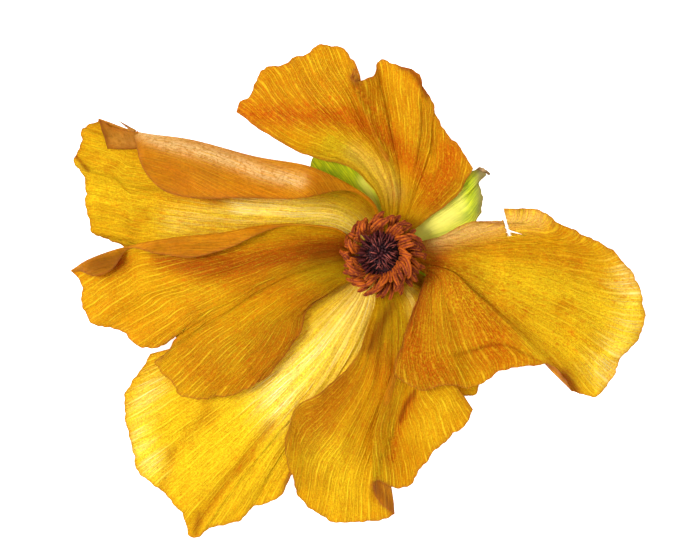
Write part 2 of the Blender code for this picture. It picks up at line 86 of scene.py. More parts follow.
# Petals in millimetres from the axis, counterclockwise seen from above: the claw's direction
# and half width in degrees, then the first side, the tip margin and the second side. A third
# number is how far a point rises from the petal's layer. A fold turns over the first side: its
# radius, then the width of the turned strip at each station. A crease is a line with its depth
# and width, and a step is a line whose left side stands higher, with its height and reach. A cut
# is a straight slit with its width at both ends. Each colour's strokes are lines that it is
# brushed along, with their width and strength. The strokes hold the petals' own pigments and also
# painted light. Brown is mostly painted shade in notches, creases and under turned edges, and
# elsewhere the brown of curled and turned-back tissue. Amber, olive, ember and russet add painted
# shade along creases and steps and below the turned strips. Sun and peach add painted highlights
# in places.
PETALS = {
    "petal_top": dict(
        layer=1, claw=(66, 23),
        first_side=[(10, 8), (13, 10.5), (14.5, 13)],
        tip=[(15.5, 15, 0.5), (14, 18, 0.5), (11.5, 21), (9.5, 24.5), (8.5, 27, 0.5), (7.5, 29, 1.2),
            (6.5, 31.5, 1.5), (5, 32.5, 0.5), (3, 33, -0.5), (0.5, 34.5, -2.5), (-1, 34, -3),
            (-2, 31.2, -1.5), (-5, 30.8), (-4.5, 33, -1.5), (-6, 35.5, -3.5), (-7.5, 37, -5), (-11.5, 37, -5),
            (-13.5, 35.5, -4.5), (-16, 35, -4), (-17.5, 33.5, -3.5), (-21, 33, -3.5), (-22.5, 30.5, -3),
            (-23.5, 27.5, -2), (-25, 27, -2), (-25.5, 25, -1.5)],
        second_side=[(-21, 21.5, -0.5), (-15, 18), (-11, 16.5), (-6.5, 15.5), (-3.5, 13.3), (-0.8, 9.8)],
        creases=[([(3, 32.2), (4.8, 31.3), (6, 29.4), (7, 27.4)], 0.5, 0.5)],
        steps=[([(-3.2, 32), (-5.2, 30.3), (-3.2, 27), (0.5, 23.5), (3, 18)], 1, 3)],
        # Painted shade: brown in the notch, and amber and ember along the step that runs down from it.
        strokes=dict(
            sun=[([(-9, 19.5), (-3, 17), (1, 13)], 2.6, 0.8), ([(3.2, 30), (4.2, 26), (5.2, 21)], 1.8, 0.35),
                ([(-12, 33), (-7, 30), (-9, 27)], 2.2, 0.35)],
            peach=[([(-5, 18), (-1, 15), (2, 11)], 1.6, 0.35)],
            amber=[([(-24, 29), (-14, 31), (-4, 28), (6, 25)], 9, 0.8),
                ([(12, 22), (13, 17), (11, 13), (9.5, 10)], 3.4, 0.75),
                ([(-3, 27), (0.5, 23.5), (3, 18)], 1.4, 1)],
            olive=[([(1.5, 6), (3, 11)], 3.2, 0.8)],
            ember=[([(-24, 24.5), (-14.5, 24.3), (-6.5, 24), (-1, 21.5), (4, 17), (9, 11)], 2.1, 1),
                ([(11.5, 18), (10.5, 14), (8.5, 9.5)], 2.4, 1),
                ([(-4.6, 29.5), (-3.4, 27.4), (-1.6, 25)], 0.7, 0.7)],
            fleck=[([(-24, 25), (-10, 27), (2, 22), (10, 14)], 4.5, 1)],
            brown=[([(-4.9, 30.9), (-4.6, 29.5)], 0.5, 0.8),
                ([(3.2, 32.7), (5, 31.9), (6.4, 30), (7.4, 28)], 0.6, 0.9)]),
    ),
    "petal_upper_left": dict(
        layer=1, claw=(140, 38),
        first_side=[(-0.8, 7.5), (-2.2, 9.8, 0.4), (-5.5, 12, 1), (-9.5, 14, 2), (-13.5, 15.5, 2.6),
            (-22, 17, 2.6), (-33, 20, 2), (-42.5, 21.5, 1)],
        tip=[(-49.5, 24), (-52.5, 23, -0.5), (-53, 20.5, -1), (-54, 16.5, -1.3), (-52.5, 14, -1),
            (-52, 9, -1), (-51, 4, -0.8), (-48.5, 3, -0.4), (-45, 1.5)],
        second_side=[(-39, 0), (-32, -2), (-18, -1.5), (-11, 1)],
        fold=(1.9, [(0, 0.1), (0.18, 0.2), (0.33, 3.9), (0.49, 5.4), (0.64, 7.9), (0.76, 7.7), (0.82, 5.2),
            (0.87, 0.8), (0.9, 0.1), (1, 0.1)]),
        creases=[([(-54, 17.5), (-51, 14.8), (-44, 15.3)], 0.45, 0.6),
            ([(-53.5, 15), (-50, 12.5), (-40, 13)], -0.35, 1.2)],
        # Painted highlight: peach along the crest of the rolled flap. Painted shade: amber and brown under
        # the flap's edge beside the claw, and brown in the fold at the tip.
        strokes=dict(
            sun=[([(-52, 12), (-40, 9), (-26, 5), (-12, 4)], 7, 0.85), ([(-50, 18), (-44, 14)], 4, 0.6)],
            cream=[([(-24, 8.4), (-16, 8), (-11, 6.6), (-5, 3.6)], 2.8, 1),
                ([(-36, 6), (-28, 6.5), (-22, 6)], 2.6, 0.4)],
            peach=[([(-42, 21.4), (-37.5, 19.5), (-31, 17.8), (-26, 16.2), (-20.5, 14.2),
                    (-14.5, 12.8)], 1.2, 0.9)],
            amber=[([(-6, 10.2), (-3.6, 8.6), (-2, 6.5)], 1, 0.6),
                ([(-41, 12), (-36, 10), (-29, 13)], 5, 0.5)],
            ember=[([(-34, 6), (-28, 5.4), (-23, 5)], 1.6, 0.32),
                ([(-37, 15), (-34, 12), (-26, 10.5), (-18, 10.5)], 1.6, 0.8)],
            fleck=[([(-48, 10), (-34, 6), (-24, 4)], 4, 0.7)],
            brown=[([(-6, 11), (-3.6, 9.8), (-2, 8)], 0.6, 0.35), ([(-53.8, 17.6), (-51.5, 15)], 0.35, 0.8)]),
    ),
    "petal_left": dict(
        layer=2, claw=(196, 30),
        first_side=[(-7, 4.2, 0.4), (-9.5, 5, 0.8), (-16, 5.5, 1.3), (-22, 5, 1.6), (-27, 4, 1.6),
            (-32, 3.5, 1.4), (-37, 3, 1), (-45, 1.5, 0.5), (-51, -0.5)],
        tip=[(-54.5, -2.5, -1.6), (-53, -4.5, -2), (-53, -8.5, -2), (-52.5, -10, -2), (-50.5, -12, -1.8),
            (-46.5, -13, -1.2), (-42, -16), (-38.5, -16, 0.2), (-36, -14, 0.4), (-38.5, -17), (-40, -18.5),
            (-37, -22), (-36, -24), (-32, -25), (-27, -24.5), (-22, -22.5), (-19.5, -20.5)],
        second_side=[(-16, -16), (-14, -13), (-13, -9.5), (-9, -6.5)],
        fold=(0.75, [(0, 0.1), (0.27, 0.1), (0.4, 1.2), (0.5, 2.4), (0.59, 3), (0.69, 1.7), (0.79, 0.2),
            (0.86, 2.4), (0.93, 2.4), (0.97, 0.6), (1, 0.1)]),
        creases=[([(-50, -11), (-43.5, -6), (-37, -6)], 0.7, 1.3)],
        # Painted shadow below the turned strip: russet, the first ember stroke and the first brown stroke
        # near the claw. The red there is partly the petal's own.
        strokes=dict(
            sun=[([(-51, -7), (-42, -4)], 2, 0.3), ([(-36, -6.5), (-28, -5)], 1.8, 0.3)],
            amber=[([(-52, -6), (-38, -11), (-26, -14)], 9, 0.45),
                ([(-11, -8), (-14, -14), (-20, -20)], 5, 1)],
            olive=[([(-4, -1), (-12, -3)], 2.4, 1)],
            ember=[([(-31, -0.6), (-25, -0.2), (-18, 0.8), (-10, 2), (-5, 1.8)], 2.1, 1),
                ([(-30, -2), (-22, -5), (-15, -7)], 3, 0.5), ([(-33, -19), (-27, -22), (-21, -21)], 3, 0.6),
                ([(-13, -12), (-19, -18)], 4.5, 0.55)],
            russet=[([(-38, -0.6), (-32, -1.9), (-25, -1.7), (-18, -0.7), (-11, 0.9), (-6, 1.4)], 1.9, 1)],
            fleck=[([(-34, -4), (-24, -9), (-22, -18)], 6, 0.9)],
            brown=[([(-5, 1), (-11, 0.4)], 1.8, 0.5), ([(-50, -1.6), (-46, -1)], 1.8, 0.9)]),
    ),
    "petal_lower_left": dict(
        layer=1, claw=(238, 27),
        first_side=[(-15, -9), (-25, -12.5), (-34, -15)],
        tip=[(-40.5, -17), (-43, -20.5, -0.6), (-45.5, -24.5, -1), (-45, -29.5, -1.2), (-44, -34.5, -1.2),
            (-42.5, -38.5, -1.2), (-38, -42, -1.2), (-36, -44.5, -1), (-34.5, -47.5, -1.1),
            (-34, -49.3, -1.2), (-32, -49.2, -1.2), (-30.5, -48.3, -1.2), (-28, -47.2, -1.2),
            (-25, -46.5, -1.2), (-22, -44, -1.1), (-17.5, -42, -1.1), (-16.3, -39, -1.1), (-12.5, -35, -1.1)],
        second_side=[(-9.5, -28, -0.8), (-4.5, -20, -0.6), (-1, -14, -0.5), (0.5, -9, -0.3)],
        creases=[([(-19, -29), (-26, -38), (-32.5, -47)], -0.75, 1.1),
            ([(-17, -31), (-22, -39), (-28, -46)], 0.7, 1),
            ([(-13, -30), (-17, -37), (-20, -42)], -0.45, 0.8),
            ([(-30, -27), (-36, -34), (-38.5, -41)], -0.6, 1.4)],
        # Painted shade: amber in two of the creases, brown where the first one ends at the tip, and olive on
        # the claw under petal_left's edge.
        strokes=dict(
            sun=[([(-14, -20), (-26, -30), (-38, -34)], 15, 1)],
            cream=[([(-1, -6), (-6, -11), (-12, -18), (-18, -25)], 4.2, 1),
                ([(-40, -22), (-43, -30), (-40, -37)], 2.5, 0.5)],
            amber=[([(-19, -29), (-26, -38), (-32.5, -47)], 0.8, 0.9),
                ([(-30, -27), (-36, -34), (-38.5, -41)], 1, 0.6)],
            olive=[([(-10, -5.2), (-4.5, -6.2)], 0.8, 1)],
            ember=[([(-3, -8), (-9, -15), (-15, -22)], 4.5, 0.3)],
            fleck=[([(-12, -18), (-20, -28), (-26, -36)], 6, 0.7)],
            brown=[([(-32.2, -45), (-32.8, -48.5)], 0.6, 0.5)]),
    ),
    "petal_bottom": dict(
        layer=2, claw=(276, 30),
        first_side=[(-1.5, -8), (-3, -12.5), (-4, -16), (-6.5, -19.5), (-11, -23.5), (-15, -26, 0.3)],
        tip=[(-17, -31.5, 0.5), (-17, -35, 0.5), (-15, -41.5, 0.2), (-12.5, -44.5, -0.8), (-9, -46.5, -2.2),
            (-3.5, -46.8, -3.2), (0.5, -46, -3), (2.5, -45, -2.8), (-0.5, -42.5, -1.2), (-1.5, -39.5, -0.4),
            (2, -40.5, -1.6), (4.5, -40.2, -1.6), (7, -37, -1), (9, -34, -0.4), (11.5, -32, -0.4),
            (14.5, -29), (15.5, -26.5)],
        second_side=[(13, -22.5), (10.5, -20), (9.5, -15.5), (9, -11), (7, -6)],
        steps=[([(-1.6, -40.5), (-0.6, -36), (2.2, -29.5), (5.2, -23.4)], 0.45, 2.5)],
        # Painted shade along the foot of the step: the second brown stroke and the last ember stroke.
        strokes=dict(
            sun=[([(-9, -35), (-7, -42)], 5, 0.65), ([(8, -30), (11, -26)], 3, 0.45)],
            cream=[([(4.5, -6), (5, -10)], 0.9, 0.5)],
            amber=[([(-6, -20), (-10, -25), (-14, -31)], 3.6, 1), ([(3, -38), (6, -33), (13, -27)], 4, 0.4),
                ([(-2, -15), (1, -19), (5, -20)], 3, 1)],
            olive=[([(1, -6), (3, -10), (5, -15)], 2.6, 1)],
            ember=[([(-7, -22), (-11, -28)], 3, 0.5), ([(-1, -20), (0.5, -25), (-1, -31)], 3, 0.45),
                ([(5, -24.5), (2.6, -30), (1.4, -35)], 1, 0.9)],
            fleck=[([(1, -18), (-2, -28), (-8, -34)], 5, 0.9)],
            brown=[([(1.6, -8.5), (-0.5, -12), (-2.3, -16)], 0.9, 0.7),
                ([(5.4, -23.4), (3.8, -26), (3, -28.5)], 0.45, 0.8),
                ([(-1.2, -40.3), (0.8, -42.8), (2.2, -44.8)], 0.9, 0.8)]),
    ),
    "petal_right": dict(
        layer=3, claw=(2, 31),
        first_side=[(7, -2.5), (6.5, -5.5), (4.5, -10.5), (3, -15.5)],
        tip=[(2, -18), (2, -20.5), (5, -23), (7.5, -23.5), (9.5, -22.5, 0.3), (15, -23, 0.3),
            (20, -20.5, 0.8), (22.5, -19.5, 0.8), (29.5, -19.5, -0.5), (32, -22.5, -2.4), (33, -24, -3.2),
            (37.5, -24.5, -4), (41, -20.5, -4.2), (41.5, -18, -4.2), (44.5, -15.5, -4.4), (46, -11, -4.4),
            (45.5, -6.5, -4.2), (42, -0.5, -3), (36, 3.5, -1), (31, 5.5, 0.8), (27.5, 8, 2), (24, 8.2, 2.4),
            (20.5, 8.1, 2.4)],
        second_side=[(20, 5.8, 1.5), (16.5, 6, 0.4), (13.5, 5.5), (10, 3.5)],
        creases=[([(22, -14), (29, -18.5), (37, -24)], 0.6, 1.2),
            ([(38, -24.5), (38, -18), (43.5, -16.5)], 0.5, 0.6), ([(27.4, 8.4), (29, 5)], 0.3, 0.5)],
        steps=[([(14, -16.5), (20, -15), (25, -16.8), (29.5, -19.6)], 0.7, 1.8)],
        cuts=[((20, 8.6), (21.9, 3.2), 0.9, 0.1), ((21.6, 4.3), (24.6, 3.5), 0.5, 0)],
        # Painted highlight: the second sun stroke, over the slope that falls to the notch. Painted shade:
        # amber below the step and along two creases, and brown along the step and in the notch.
        strokes=dict(
            sun=[([(16, -5), (28, -6), (38, -10)], 6.5, 1), ([(14, -3), (20.5, -9.5), (27.5, -17)], 1.5, 1),
                ([(26, -12), (34, -17), (38, -22)], 4, 0.9), ([(43, -8), (42, -14), (38, -20)], 3.5, 1),
                ([(24, 6), (28, 6)], 2.5, 0.5)],
            cream=[([(42.5, -3), (43, -12), (39, -20)], 3.2, 0.5)],
            peach=[([(9, 3), (14, 4.2), (19.5, 5.5)], 1.8, 1), ([(21.5, 6), (26.5, 6.4)], 1.8, 0.75)],
            amber=[([(3, -14), (3.5, -20), (12, -21)], 3, 1), ([(10, -12), (14, -18), (19, -18)], 3, 0.7),
                ([(20, -16.5), (26, -18.5)], 1.6, 0.6), ([(39.8, -23), (40, -18.6), (43.5, -17)], 0.9, 0.8),
                ([(28.5, 7), (30.5, 3.5)], 1.2, 0.7)],
            olive=[([(5, 0), (7, 0.5)], 1.6, 0.8)],
            ember=[([(6, -9), (5, -15), (8, -19)], 4.2, 1), ([(9, -3), (15, -8), (19, -14)], 6, 1),
                ([(14, 1.5), (24, 0.5), (34, -1.5)], 2.2, 0.5)],
            russet=[([(9.5, -1), (7.2, -5), (4.6, -11)], 1.7, 1)],
            fleck=[([(14, -2), (24, -8), (31, -15)], 5.5, 1), ([(22, 2), (34, 0), (43, -8)], 3, 0.8)],
            brown=[([(14, -16.8), (20, -15.3), (25, -17.1), (29.3, -19.6)], 0.25, 0.45),
                ([(8, 0.5), (12, 0.5), (15, 1.5)], 1.8, 0.2), ([(33.5, -23.5), (31.5, -20.5)], 0.9, 0.8)]),
    ),
    "petal_under": dict(
        layer=0.6, claw=(322, 17),
        first_side=[(6, -10), (8, -16)],
        tip=[(10, -20, -0.3), (12.5, -23.5, -0.3), (16, -24.5, -0.3), (17, -22), (18, -18, 0.2),
            (17.5, -14, 0.2)],
        second_side=[(15, -9.5), (10.5, -5.5)],
        strokes=dict(sun=[([(14, -20), (17, -24)], 3, 0.8)]),
    ),
}

# Loose curls of petal on the turned tip, each from its base line to its free edge.
CURLS = {
    "petal_upper_left_curl": dict(
        layer=1,
        base=[(-41.8, 18.7, 1.5), (-45, 18.6, 0.9), (-48, 18.7, 0.6)],
        first_side=[(-42.2, 20.3, 2.2)],
        tip=[(-42.5, 21.7, 2.7), (-45, 22.3, 2.4), (-47, 22.8, 2.2), (-49.7, 24, 1.6)],
        second_side=[(-48.9, 21.3, 1.1)],
        # Painted shade: brown along the base line where the curl rises. The faint peach is painted light on
        # the shaded curl. Brown along the left edge is the turned-back tissue.
        strokes=dict(
            peach=[([(-42, 20), (-46, 20)], 3, 0.15)],
            brown=[([(-47.8, 18.7), (-48.8, 21), (-49.8, 24)], 0.9, 0.9),
                ([(-41.8, 18.7), (-48, 18.7)], 0.5, 0.8)]),
    ),
}

SEPALS = {
    "sepal_upper": dict(
        layer=-0.6, claw=(122, 20),
        first_side=[(2, 8, -0.1), (-2, 15, -0.4)],
        tip=[(-7.5, 20.5, -0.5), (-9.5, 21, -0.5), (-12, 18.5, -0.3), (-13, 14.5)],
        second_side=[(-10, 9.5), (-6.5, 5)],
        strokes=dict(cream=[([(-1, 8), (-3.5, 13)], 0.9, 0.6)]),
    ),
    "sepal_upper_right": dict(
        layer=-0.4, claw=(38, 20),
        first_side=[(9.5, 2.2), (14.5, 3.8)],
        tip=[(17, 7.5, 0.2), (17.5, 10, 0.4), (17, 12.5, 0.6), (18, 14, 0.8), (16, 15, 0.5), (13, 13.5)],
        second_side=[(9, 11), (5.5, 7.5)],
        # Brown along the right edge: the grey-brown turned-back outer surface, deepened with painted shade.
        strokes=dict(
            cream=[([(4.5, 3), (8, 5), (11.5, 7.2)], 2.6, 1), ([(12.5, 11.5), (13.5, 8.5)], 1.2, 0.8)],
            brown=[([(17.3, 6), (17.4, 10.5), (17, 15)], 1.3, 1)]),
    ),
    "sepal_left": dict(
        layer=-0.6, claw=(194, 20),
        first_side=[(-11, 2)],
        tip=[(-17, 1, -0.3), (-19, -4, -0.5), (-16, -8, -0.3)],
        second_side=[(-10, -6.5)],
    ),
    "sepal_bottom": dict(
        layer=-0.6, claw=(266, 20),
        first_side=[(-4.5, -11)],
        tip=[(-5, -17, -0.3), (-1, -19.5, -0.5), (3.5, -17, -0.3)],
        second_side=[(3, -10.5)],
    ),
    "sepal_right": dict(
        layer=-0.6, claw=(338, 20),
        first_side=[(8, -8.5)],
        tip=[(14, -11, -0.3), (18.5, -8, -0.5), (18.5, -2, -0.3)],
        second_side=[(12, -0.5)],
    ),
}

# Brushed coats: the petals' own pigments, with painted shade and painted highlights in the same masks.
PIGMENTS_AND_SHADING = ("sun", "cream", "peach", "amber", "olive", "ember", "russet", "fleck", "brown")


# Curves and surfaces.


def chord_keys(points):
    steps = np.linalg.norm(np.diff(points, axis=0), axis=1)
    keys = np.concatenate([[0.0], np.cumsum(steps)])
    return keys / keys[-1]


def curve(points, t, keys=None):
    """Catmull-Rom curve through points, read at an array of stations from 0 to 1."""
    points = np.array(points, float)
    keys = chord_keys(points) if keys is None else np.array(keys, float)
    slopes = np.empty_like(points)
    slopes[0] = (points[1] - points[0]) / (keys[1] - keys[0])
    slopes[-1] = (points[-1] - points[-2]) / (keys[-1] - keys[-2])
    slopes[1:-1] = (points[2:] - points[:-2]) / (keys[2:] - keys[:-2])[:, None]
    t = np.clip(np.asarray(t, float), keys[0], keys[-1])
    i = np.clip(np.searchsorted(keys, t, side="left") - 1, 0, len(points) - 2)
    span = (keys[i + 1] - keys[i])[:, None]
    s = (t - keys[i])[:, None] / span
    return ((2 * s**3 - 3 * s**2 + 1) * points[i] + (s**3 - 2 * s**2 + s) * span * slopes[i]
            + (3 * s**2 - 2 * s**3) * points[i + 1] + (s**3 - s**2) * span * slopes[i + 1])


def level(table, t):
    """Smooth values read from (station, value) pairs."""
    values = [(value,) for _, value in table]
    return curve(values, t, [station for station, _ in table])[:, 0]


dome_radii = np.linspace(0, 70, 701)
dome_levels = level(DOME, dome_radii)


def dome_height(x, y):
    """Height of the shared dome, with the gentle waves that all petals follow."""
    r = np.hypot(x, y)
    height = np.interp(r, dome_radii, dome_levels)
    waves = np.sin(0.21 * x + 0.9) * np.sin(0.24 * y - 0.4) + 0.5 * np.sin(0.31 * (x + y))
    wave_size = 0.5 * np.clip((r - 8) / 20, 0, 1) * np.minimum(1, height / 4)
    return height + wave_size * waves


def ripples(x, y, wavelength, seed):
    """Irregular waves of about one wavelength, between -1 and 1."""
    chance = random.Random(seed)
    total = np.zeros_like(x)
    count = 7
    for _ in range(count):
        heading = chance.uniform(0, math.tau)
        pitch = math.tau / (wavelength * chance.uniform(0.75, 1.35))
        total += np.sin((x * math.cos(heading) + y * math.sin(heading)) * pitch
                        + chance.uniform(0, math.tau))
    return total / math.sqrt(count) * 0.8


def locate(line, x, y):
    """Plan distance of each point from a line, its side of the line, and its station on it."""
    best = np.full(x.shape, np.inf)
    side = np.zeros(x.shape)
    station = np.zeros(x.shape)
    keys = chord_keys(line)
    for k, (a, b) in enumerate(zip(line, line[1:])):
        along = b - a
        dx, dy = x - a[0], y - a[1]
        share = np.clip((dx * along[0] + dy * along[1]) / max(along @ along, 1e-9), 0, 1)
        gap = np.hypot(dx - share * along[0], dy - share * along[1])
        nearer = gap < best
        best = np.where(nearer, gap, best)
        side = np.where(nearer, np.sign(along[0] * dy - along[1] * dx), side)
        station = np.where(nearer, keys[k] + share * (keys[k + 1] - keys[k]), station)
    return best, side, station


def drawn(line):
    """A smooth plan curve through listed points."""
    return curve([p[:2] for p in line], np.linspace(0, 1, 32))


def rise(point):
    return tuple(point) if len(point) == 3 else (*point, 0.0)


def claw_point(angle, radius):
    return (radius * math.cos(math.radians(angle)), radius * math.sin(math.radians(angle)), 0.0)


def scalloped(margin, inward, amount, chance):
    """A margin bitten inward by small uneven scallops that fade out at both ends."""
    keys = chord_keys(margin[:, :2])
    length = np.linalg.norm(np.diff(margin[:, :2], axis=0), axis=1).sum()
    bite = np.zeros(len(margin))
    for wavelength in SCALLOP_PITCHES:
        waves = np.abs(np.sin(keys * length / wavelength * math.pi + chance.uniform(0, math.tau)))
        bite += (1 - waves) * wavelength**0.6 / 6
    along = np.gradient(margin[:, :2], axis=0)
    along /= np.linalg.norm(along, axis=1)[:, None]
    fade = np.clip(np.minimum(keys, 1 - keys) * 15, 0, 1)
    bitten = margin.copy()
    bitten[:, 0] -= inward * along[:, 1] * bite * fade * amount
    bitten[:, 1] += inward * along[:, 0] * bite * fade * amount
    return bitten


class Sheet:
    """A petal's midsurface: a patch between its claw, its two sides and its tip margin."""

    def __init__(self, shape, rows, columns, seed):
        self.shape = shape
        self.fold = shape.get("fold")
        self.u = 1 - (1 - np.linspace(0, 1, rows + 1))**1.35
        even = np.linspace(0, 1, columns + 1)
        self.v = 0.6 * even + 0.2 * (1 - np.cos(math.pi * even))
        if "base" in shape:
            claw = [rise(p) for p in shape["base"]]
        else:
            direction, half_width = shape["claw"]
            claw = [claw_point(direction + half_width * k, CLAW_RADIUS) for k in (-1, -0.5, 0, 0.5, 1)]
        tip = [rise(p) for p in shape["tip"]]
        first = [claw[0], *(rise(p) for p in shape["first_side"]), tip[0]]
        second = [claw[-1], *reversed([rise(p) for p in shape["second_side"]]), tip[-1]]
        chance = random.Random(seed)
        self.claw = curve(claw, self.v)
        self.tip = scalloped(curve(tip, self.v), 1, 0.55, chance)
        self.line = curve(first, self.u)
        self.second = scalloped(curve(second, self.u), -1, 0.2, chance)
        if self.fold:
            ahead, behind = np.minimum(self.u + 0.02, 1), np.maximum(self.u - 0.02, 0)
            along = curve(first, ahead) - curve(first, behind)
            along = along[:, :2] / np.linalg.norm(along[:, :2], axis=1)[:, None]
            self.out = np.stack([along[:, 1], -along[:, 0]], axis=1)
            radius, flap = self.fold
            self.flap_width = np.maximum(level(flap, self.u), 0.05)
            self.radius = radius * np.minimum(1, 0.25 + self.flap_width / (2.2 * radius))
            self.first = self.line.copy()
            self.first[:, :2] -= self.out * self.radius[:, None]
        else:
            self.first = scalloped(self.line, 1, 0.2, chance)

    def patch(self):
        """Plan position and rise inside the four boundary curves."""
        u = self.u[:, None, None]
        v = self.v[None, :, None]
        a, b = self.claw[0], self.claw[-1]
        c, d = self.tip[0], self.tip[-1]
        corners = (1 - u) * ((1 - v) * a + v * b) + u * ((1 - v) * c + v * d)
        sides = (1 - v) * self.first[:, None, :] + v * self.second[:, None, :]
        ends = (1 - u) * self.claw[None] + u * self.tip[None]
        return sides + ends - corners

    def turned_strip(self):
        """The strip beyond the first side from its free edge back to the bend, and its reach."""
        share = 1 - np.arange(FOLD_COLUMNS) / FOLD_COLUMNS
        radius = self.radius[:, None]
        reach = share[None, :] * (math.pi * radius + self.flap_width[:, None])
        angle = np.minimum(reach / radius, math.pi)
        beyond = np.maximum(reach - math.pi * radius, 0)
        inward = -radius + radius * np.sin(angle) - beyond * 0.985
        lift = radius * (1 - np.cos(angle)) - beyond * 0.12
        plan = self.line[:, None, :2] + self.out[:, None, :] * inward[..., None]
        return np.concatenate([plan, (self.line[:, None, 2] + lift)[..., None]], axis=2), reach

    def points(self):
        """Plan position and height, with the growth coordinates that the veins follow."""
        flat = self.patch()
        v = np.repeat(self.v[None, :], flat.shape[0], axis=0)
        if self.fold:
            strip, reach = self.turned_strip()
            flat = np.concatenate([strip, flat], axis=1)
            v = np.concatenate([-0.045 * reach * (0.3 + self.u[:, None]), v], axis=1)
        u = np.repeat(self.u[:, None], flat.shape[1], axis=1)
        x, y = flat[..., 0], flat[..., 1]
        height = dome_height(x, y) + self.shape["layer"] * LAYER_STEP + flat[..., 2]
        return x, y, height, u, v


def normals_of(points):
    along = np.gradient(points, axis=0)
    across = np.gradient(points, axis=1)
    normal = np.cross(along, across)
    return normal / np.maximum(np.linalg.norm(normal, axis=2, keepdims=True), 1e-12)


def edge_distance(sheet, x, y):
    """Plan distance to the free margin. The turned strip has the first side for its own."""
    rest = np.concatenate([np.stack([x[-1], y[-1]], 1), np.stack([x[::-1, -1], y[::-1, -1]], 1)])
    edge = locate(rest, x, y)[0]
    first = locate(np.stack([x[:, 0], y[:, 0]], 1), x, y)[0]
    if sheet.fold:
        first[:, FOLD_COLUMNS:] = np.inf
    return np.minimum(edge, first)


def slit(cut, x, y):
    """Part the points on both sides of a straight slit, and say which faces it opens."""
    start, end, start_width, end_width = cut
    start, along = np.array(start), np.array(end) - np.array(start)
    length = np.linalg.norm(along)
    along /= length
    station = ((x - start[0]) * along[0] + (y - start[1]) * along[1]) / length
    offset = along[0] * (y - start[1]) - along[1] * (x - start[0])
    within = (station > 0) & (station < 1)
    half = (start_width + (end_width - start_width) * station) / 2
    side = np.where(offset < 0, -1, 1)
    push = np.where(within & (abs(offset) < half), side * half - offset, 0)
    corners = [(slice(None, -1), slice(None, -1)), (slice(1, None), slice(None, -1)),
               (slice(1, None), slice(1, None)), (slice(None, -1), slice(1, None))]
    sides = np.abs(sum(side[c] for c in corners)) < 4
    reached = sum(within[c].astype(int) for c in corners) == 4
    near = sum((abs(offset) < 2)[c].astype(int) for c in corners) == 4
    return x - along[1] * push, y + along[0] * push, sides & reached & near


def stand(name, data):
    piece = bpy.data.objects.new(name, data)
    bpy.context.scene.collection.objects.link(piece)
    return piece


def solid(name, vertices, faces, finishes, masks=None):
    """A smooth piece from points in millimetres, with one painted value per point in each mask."""
    mesh = bpy.data.meshes.new(name)
    placed = np.array(vertices).reshape(-1, 3) * MM + np.array(AXIS)
    mesh.from_pydata(placed.tolist(), [], faces)
    mesh.polygons.foreach_set("use_smooth", np.ones(len(faces), bool))
    for finish in finishes:
        mesh.materials.append(finish)
    for key, values in (masks or {}).items():
        paint = mesh.attributes.new(key, "FLOAT", "POINT")
        paint.data.foreach_set("value", np.array(values, np.float32))
    mesh.update()
    return stand(name, mesh)


